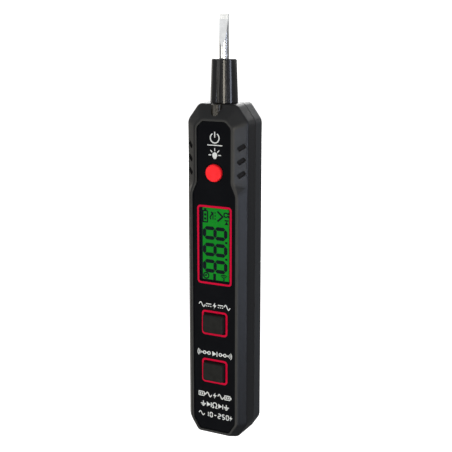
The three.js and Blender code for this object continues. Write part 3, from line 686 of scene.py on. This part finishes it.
def print_foot_symbols():
    ink = Print(PANEL_FRONT, (0, 16.35))
    draw_bolt(ink, (0, 0), 2.5)
    for side in (-1, 1):
        draw_wave(ink, (side * 2.6, 0), 2.5, 1.7, SYMBOL_LINE)
        draw_battery(ink, (side * 5.6, 0), 2.6, 1.6, 0.35)
    ink.piece("foot_symbols_upper", WHITE_INK, "white_plastic")

    ink = Print(PANEL_FRONT, (0, 12.35))
    draw_omega(ink, (0, 0), 2.3, SYMBOL_LINE)
    for side in (-1, 1):
        draw_diode(ink, (side * 2.5, 0), 1.9, SYMBOL_LINE)
        draw_earth(ink, (side * 5.0, 0), 2.2, SYMBOL_LINE)
    ink.piece("foot_symbols_middle", WHITE_INK, "white_plastic")

    ink = Print(PANEL_FRONT, (0, 8.25))
    draw_wave(ink, (-5.7, 0), 2.4, 1.5, SYMBOL_LINE)
    for i, digit in enumerate("10-250"):
        draw_digit(ink, (-3.3 + 1.75 * i, 0), 1.35, 2.2, 0.38, 0.0, digit)
    draw_bolt(ink, (6.9, 0), 2.2)
    ink.piece("range_numbers", WHITE_INK, "white_plastic")


# ---------------------------------------------------------------- what the LCD shows

LCD_DIGITS = {"first": 67.55, "pitch": 6.33, "width": 5.1, "height": 10.3, "stroke": 1.42}


def draw_lcd_content():
    """The display reads from the bottom up, so drawings here are (height up the pen, -x)."""
    ink = Print(LCD_FRONT, (0, 0), turned=True)
    # Painted shadow: dark strips along the left and lower edges, where the window's frame throws its
    # shadow on the display.
    ink.line([(61.5, 5.85), (90.3, 5.85)], 1.1)
    ink.line([(61.95, 5.4), (61.95, -6.4)], 0.7)
    # Three digits with two points between them.
    for i in range(3):
        centre = (LCD_DIGITS["first"] + LCD_DIGITS["pitch"] * i, 0.1)
        draw_digit(ink, centre, LCD_DIGITS["width"], LCD_DIGITS["height"], LCD_DIGITS["stroke"], 0.1)
    for i in range(2):
        point = LCD_DIGITS["first"] + LCD_DIGITS["pitch"] * (i + 0.5)
        ink.fill(rounded_rectangle((point, -4.6), 0.8, 0.95, 0.15))
    # Small signs before the digits: minus, clock and sound.
    ink.line([(62.3, 0.33), (64.75, 0.33)], 1.15)
    draw_clock(ink, (63.7, 3.9), 1.1, 0.5)
    draw_sound(ink, (63.7, -3.6), 2.3, 0.45)
    # Small signs after the digits: battery, kinds of current, pointer, ohms and diode.
    draw_battery(ink, (86.7, 4.2), 4.8, 1.9, 0.52)
    draw_wave(ink, (86.9, 1.75), 2.9, 0.8, 0.5)
    draw_direct_current(ink, (86.9, 0.5), 2.9, 0.4)
    ink.line([(84.9, -0.9), (86.8, -3.1), (88.7, -0.9)], 0.7)
    draw_omega(ink, (87.6, -4.6), 2.1, 0.48)
    draw_diode(ink, (84.7, -4.7), 1.6, 0.48)
    ink.piece("lcd_segments_and_frame_shadow", SEGMENT_LOOK, "black_plastic")


# ---------------------------------------------------------------- stage


def camera_only(backdrop):
    """Shows to the camera without lighting the tester or mirroring in it."""
    backdrop.visible_diffuse = False
    backdrop.visible_glossy = False
    backdrop.visible_shadow = False


BACKDROP_RADIUS = 3.0
FLOOR_HALF_WIDTH = 2.5
FLOOR_HEIGHT = -0.075


def add_backdrop():
    """A white studio room that the pale floor fades into."""
    surface = Surface("backdrop_paper", (0.9, 0.9, 0.9), 0.8, specular=0.1)
    surface.set("Emission Color", (1, 1, 1, 1))
    surface.set("Emission Strength", 1.0)
    surface.vary_roughness(surface.noise(0.05), 0.75, 0.85)
    mesh = bmesh.new()
    bmesh.ops.create_uvsphere(mesh, u_segments=48, v_segments=24, radius=BACKDROP_RADIUS)
    data = bpy.data.meshes.new("backdrop")
    mesh.to_mesh(data)
    mesh.free()
    data.materials.append(surface.material)
    backdrop = bpy.data.objects.new("backdrop", data)
    bpy.context.scene.collection.objects.link(backdrop)
    camera_only(backdrop)


def add_floor():
    """Far enough below the foot for the battery door to slide off above it."""
    surface = Surface("floor_paper", (0.5, 0.5, 0.5), 0.8, specular=0.0)
    surface.set("Emission Color", (1, 1, 1, 1))
    surface.set("Emission Strength", 0.9)
    surface.vary_roughness(surface.noise(0.02), 0.75, 0.85)
    half, z = FLOOR_HALF_WIDTH, FLOOR_HEIGHT
    corners = [(-half, -half, z), (half, -half, z), (half, half, z), (-half, half, z)]
    mesh = bpy.data.meshes.new("floor")
    mesh.from_pydata(corners, [], [(0, 1, 2, 3)])
    mesh.materials.append(surface.material)
    floor = bpy.data.objects.new("floor", mesh)
    bpy.context.scene.collection.objects.link(floor)
    camera_only(floor)


# Softboxes stand round this point. Their azimuth is 0 in front of the tester and grows to its right.
LIGHT_CENTRE = Vector((0, 0, 0.08))


def add_softbox(name, azimuth, elevation, distance, width, height, power, colour):
    """A rectangular light that faces LIGHT_CENTRE, with its size in metres and its power in watts."""
    light = bpy.data.lights.new(name, "AREA")
    light.shape = "RECTANGLE"
    light.size = width
    light.size_y = height
    light.energy = power
    light.color = colour
    lamp = bpy.data.objects.new(name, light)
    turn, rise = math.radians(azimuth), math.radians(elevation)
    towards = Vector((math.sin(turn) * math.cos(rise), -math.cos(turn) * math.cos(rise), math.sin(rise)))
    lamp.location = LIGHT_CENTRE + towards * distance
    lamp.rotation_euler = towards.to_track_quat("Z", "Y").to_euler()
    bpy.context.scene.collection.objects.link(lamp)


def dim_room():
    """A world that is dark low down and brighter overhead."""
    world = bpy.data.worlds.new("studio")
    world.use_nodes = True
    tree = world.node_tree
    direction = tree.nodes.new("ShaderNodeTexCoord")
    split = tree.nodes.new("ShaderNodeSeparateXYZ")
    rise = tree.nodes.new("ShaderNodeMapRange")
    rise.inputs["From Min"].default_value = -0.25
    rise.inputs["From Max"].default_value = 0.5
    rise.inputs["To Min"].default_value = 0.12
    rise.inputs["To Max"].default_value = 0.45
    background = tree.nodes["Background"]
    background.inputs["Color"].default_value = (1, 1, 1, 1)
    tree.links.new(direction.outputs["Generated"], split.inputs["Vector"])
    tree.links.new(split.outputs["Z"], rise.inputs["Value"])
    tree.links.new(rise.outputs["Result"], background.inputs["Strength"])
    bpy.context.scene.world = world


def light_studio():
    """Each softbox stands where the surface named above it mirrors it to the camera."""
    dim_room()
    # Highlight down the middle of the sleeve.
    add_softbox("warm_upper", 30, 6.5, 0.9, 0.16, 0.26, 1.9, (1.0, 0.94, 0.80))
    # Highlight on the rim's rounded edge.
    add_softbox("warm_lower", 12, -18, 0.9, 0.16, 0.36, 2.3, (1.0, 0.95, 0.82))
    # Upper right bevel.
    add_softbox("cool_front", 48, -14, 0.9, 0.2, 0.36, 1.4, (0.72, 0.80, 1.0))
    # Lower right bevel, and the second highlight on the sleeve.
    add_softbox("cool_right", 82, 2, 0.9, 0.14, 0.7, 2.3, (0.74, 0.81, 1.0))
    # Left bevels.
    add_softbox("warm_left", -116, 0, 1.0, 0.5, 1.4, 1.5, (1.0, 0.95, 0.84))
    # Flat of the rim, with a faint gloss on the keys and display.
    add_softbox("low_front", -28, -16, 0.9, 0.5, 0.6, 2.0, (1.0, 0.97, 0.88))
    # Flat and side of the blade.
    add_softbox("blade_card", -28, 15.5, 0.62, 0.3, 0.26, 0.165, (1.0, 1.0, 1.0))
    add_softbox("blade_side", 153, 8, 0.62, 0.3, 0.06, 0.036, (1.0, 1.0, 1.0))
    # Top face and shoulders, and the back.
    add_softbox("high_back", -153, 22, 1.6, 2.0, 0.8, 8.0, (1.0, 1.0, 1.0))
    add_softbox("rear_fill", 195, 20, 1.6, 0.9, 0.9, 8.0, (1.0, 1.0, 1.0))


# ---------------------------------------------------------------- build

add_camera()
dress_cad_nodes()
for node in ("rear_shell", "battery_door"):
    frame["nodes"][node].data.materials[0] = REAR_LOOK
frame["nodes"]["probe_sleeve"].data.materials[0] = SLEEVE_LOOK
frame["nodes"]["indicator_lamp"].data.materials[0] = LAMP_LOOK
shade_grip_notch_floors()
print_red_outlines()
print_button_symbols()
print_key_symbols()
print_foot_symbols()
draw_lcd_content()
add_backdrop()
add_floor()
light_studio()
bpy.context.scene.view_settings.view_transform = "Standard"
